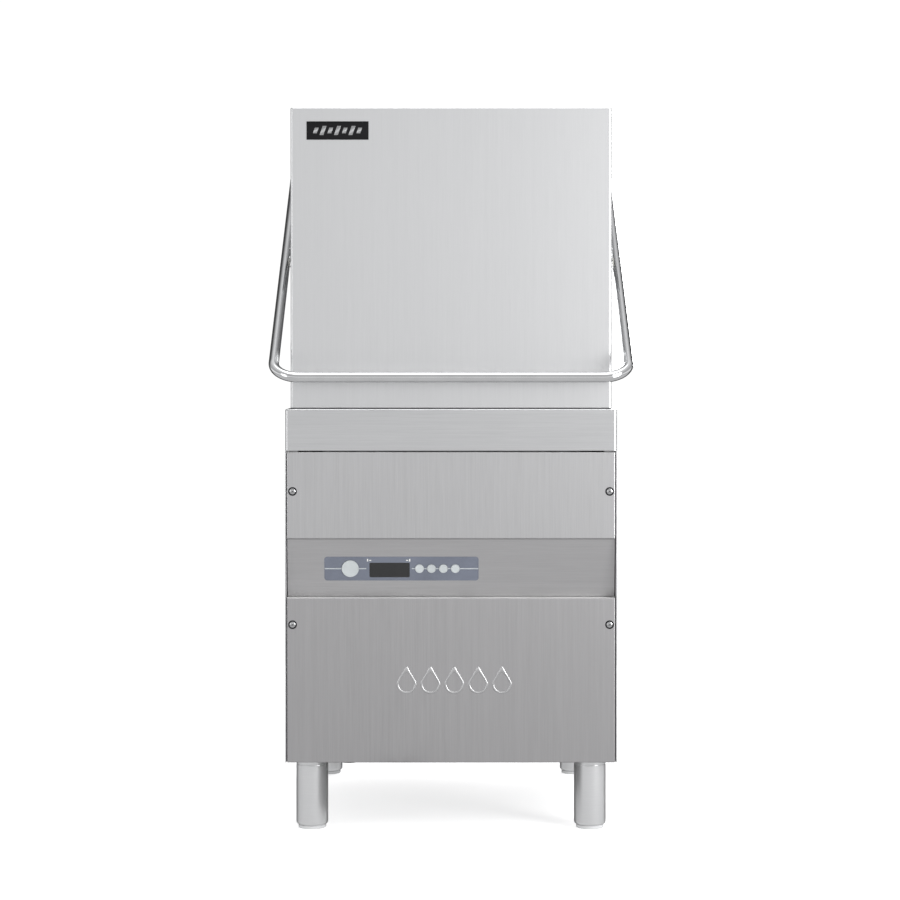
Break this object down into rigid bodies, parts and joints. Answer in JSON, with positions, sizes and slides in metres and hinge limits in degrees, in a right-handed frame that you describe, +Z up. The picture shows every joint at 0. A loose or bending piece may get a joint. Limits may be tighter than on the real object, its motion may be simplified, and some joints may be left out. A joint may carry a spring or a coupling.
{
  "type": "commercial dishwasher",
  "caption": "Hood-type pass-through dishwasher in brushed steel with a lifting hood, wrap-round tube handle, push-button panel and round legs.",
  "frame": {"origin": "on the floor under the middle of the machine's bounding box, hood closed", "axes": "+X to the right seen from the front, +Y to the back, +Z up"},
  "size_m": [0.7, 0.79, 1.3993],
  "materials": {
    "body_steel": "fine horizontal satin brushing",
    "hood_steel": "fine vertical satin brushing",
    "leg_steel": "turned satin tube",
    "tank_steel": "pressed sheet, satin",
    "chrome_tube": "polished stainless tube",
    "screw_steel": "bright screw steel",
    "spring_steel": "drawn wire",
    "shaft_steel": "ground shaft",
    "pump_plastic": "moulded black",
    "motor_aluminium": "cast fins",
    "hose_rubber": "matt hose",
    "seal_rubber": "soft grey seal",
    "nylon": "natural nylon",
    "foot_plastic": "grey moulded",
    "fascia_film": "satin blue grey film",
    "display_plastic": "smoked window",
    "button_plastic": "light grey keys",
    "board_green": "circuit board",
    "badge_black": "black enamel plate",
    "valve_plastic": "white moulded",
    "brass_fitting": "turned brass"
  },
  "bodies": {
    "cabinet": {"base_tray": "body_steel", "left_side_panel": "body_steel", "right_side_panel": "body_steel", "rear_panel": "body_steel", "upper_front_panel": "body_steel", "control_panel": "body_steel", "lower_front_panel": "body_steel", "fascia_overlay": "fascia_film", "display_window": "display_plastic", "control_board": "board_green", "screw_cup_washers": "screw_steel", "panel_screws": "screw_steel", "legs": "leg_steel", "wash_tank": "tank_steel", "hood_seal": "seal_rubber", "rack_guide": "tank_steel", "tank_strainers": "tank_steel", "overflow_pipe": "tank_steel", "sump_filter": "tank_steel", "lower_spray_pedestal": "tank_steel", "wash_riser": "tank_steel", "rinse_riser": "tank_steel", "guide_rails": "shaft_steel", "column_housing": "body_steel", "column_rear_cover": "body_steel", "shaft_bearings": "nylon", "balance_springs": "spring_steel", "hood_switch": "pump_plastic", "pump_volute": "pump_plastic", "pump_motor": "motor_aluminium", "suction_hose": "hose_rubber", "delivery_manifold": "pump_plastic", "boiler": "tank_steel", "boiler_heater": "tank_steel", "inlet_valve": "brass_fitting", "drain_pipe": "pump_plastic", "cable_gland": "pump_plastic", "tank_heater": "tank_steel", "dosing_pumps": "valve_plastic"},
    "hood": {"hood_shell": "hood_steel", "hood_badge": "badge_black", "roller_channels": "hood_steel", "guide_blocks": "nylon"},
    "handle": {"lift_handle": "chrome_tube", "balance_shaft": "shaft_steel"},
    "rollers": {"channel_rollers": "nylon"},
    "pump_rotor": {"pump_rotor": "shaft_steel"},
    "lower_wash_arm": {"lower_wash_arm": "tank_steel"},
    "lower_rinse_arm": {"lower_rinse_arm": "tank_steel"},
    "upper_wash_arm": {"upper_wash_arm": "tank_steel"},
    "upper_rinse_arm": {"upper_rinse_arm": "tank_steel"},
    "start_button": {"start_button": "button_plastic"},
    "option_button_1": {"option_button_1": "button_plastic"},
    "option_button_2": {"option_button_2": "button_plastic"},
    "option_button_3": {"option_button_3": "button_plastic"},
    "option_button_4": {"option_button_4": "button_plastic"},
    "front_left_foot": {"front_left_foot": "foot_plastic"},
    "front_right_foot": {"front_right_foot": "foot_plastic"},
    "rear_left_foot": {"rear_left_foot": "foot_plastic"},
    "rear_right_foot": {"rear_right_foot": "foot_plastic"}
  },
  "joints": [
    {"name": "hood_lift", "type": "slide", "parent": "cabinet", "child": "hood", "axis": [0, 0, 1], "range_m": [0, 0.4411]},
    {"name": "handle_pivot", "type": "hinge", "parent": "cabinet", "child": "handle", "pos_m": [0, 0.325, 1.339], "axis": [-1, 0, 0], "range_deg": [0, 66.04], "deforming": ["balance_springs"]},
    {"name": "roller_spin", "type": "hinge", "parent": "handle", "child": "rollers", "pos_m": [0, -0.01468, 1.11845], "axis": [1, 0, 0], "continuous": true},
    {"name": "pump_spin", "type": "hinge", "parent": "cabinet", "child": "pump_rotor", "pos_m": [-0.1275, -0.022, 0.4], "axis": [0, 1, 0], "continuous": true},
    {"name": "lower_wash_arm_spin", "type": "hinge", "parent": "cabinet", "child": "lower_wash_arm", "pos_m": [0, -0.022, 0.77], "axis": [0, 0, 1], "continuous": true},
    {"name": "lower_rinse_arm_spin", "type": "hinge", "parent": "cabinet", "child": "lower_rinse_arm", "pos_m": [0, -0.022, 0.77], "axis": [0, 0, 1], "continuous": true},
    {"name": "upper_wash_arm_spin", "type": "hinge", "parent": "cabinet", "child": "upper_wash_arm", "pos_m": [0, -0.022, 1.3], "axis": [0, 0, 1], "continuous": true},
    {"name": "upper_rinse_arm_spin", "type": "hinge", "parent": "cabinet", "child": "upper_rinse_arm", "pos_m": [0, -0.022, 1.3], "axis": [0, 0, 1], "continuous": true},
    {"name": "start_button_press", "type": "slide", "parent": "cabinet", "child": "start_button", "axis": [0, 0.9873, 0.1587], "range_m": [0, 0.0018], "stiffness_N_per_m": 500, "springref_m": -0.0008},
    {"name": "option_button_1_press", "type": "slide", "parent": "cabinet", "child": "option_button_1", "axis": [0, 0.9873, 0.1587], "range_m": [0, 0.0018], "stiffness_N_per_m": 500, "springref_m": -0.0008},
    {"name": "option_button_2_press", "type": "slide", "parent": "cabinet", "child": "option_button_2", "axis": [0, 0.9873, 0.1587], "range_m": [0, 0.0018], "stiffness_N_per_m": 500, "springref_m": -0.0008},
    {"name": "option_button_3_press", "type": "slide", "parent": "cabinet", "child": "option_button_3", "axis": [0, 0.9873, 0.1587], "range_m": [0, 0.0018], "stiffness_N_per_m": 500, "springref_m": -0.0008},
    {"name": "option_button_4_press", "type": "slide", "parent": "cabinet", "child": "option_button_4", "axis": [0, 0.9873, 0.1587], "range_m": [0, 0.0018], "stiffness_N_per_m": 500, "springref_m": -0.0008},
    {"name": "front_left_foot_screw", "type": "slide", "parent": "cabinet", "child": "front_left_foot", "axis": [0, 0, -1], "range_m": [0, 0.03]},
    {"name": "front_right_foot_screw", "type": "slide", "parent": "cabinet", "child": "front_right_foot", "axis": [0, 0, -1], "range_m": [0, 0.03]},
    {"name": "rear_left_foot_screw", "type": "slide", "parent": "cabinet", "child": "rear_left_foot", "axis": [0, 0, -1], "range_m": [0, 0.03]},
    {"name": "rear_right_foot_screw", "type": "slide", "parent": "cabinet", "child": "rear_right_foot", "axis": [0, 0, -1], "range_m": [0, 0.03]}
  ],
  "couplings": [
    {"joint": "handle_pivot", "follows": "hood_lift", "rad_per_m": 2.6111}
  ]
}
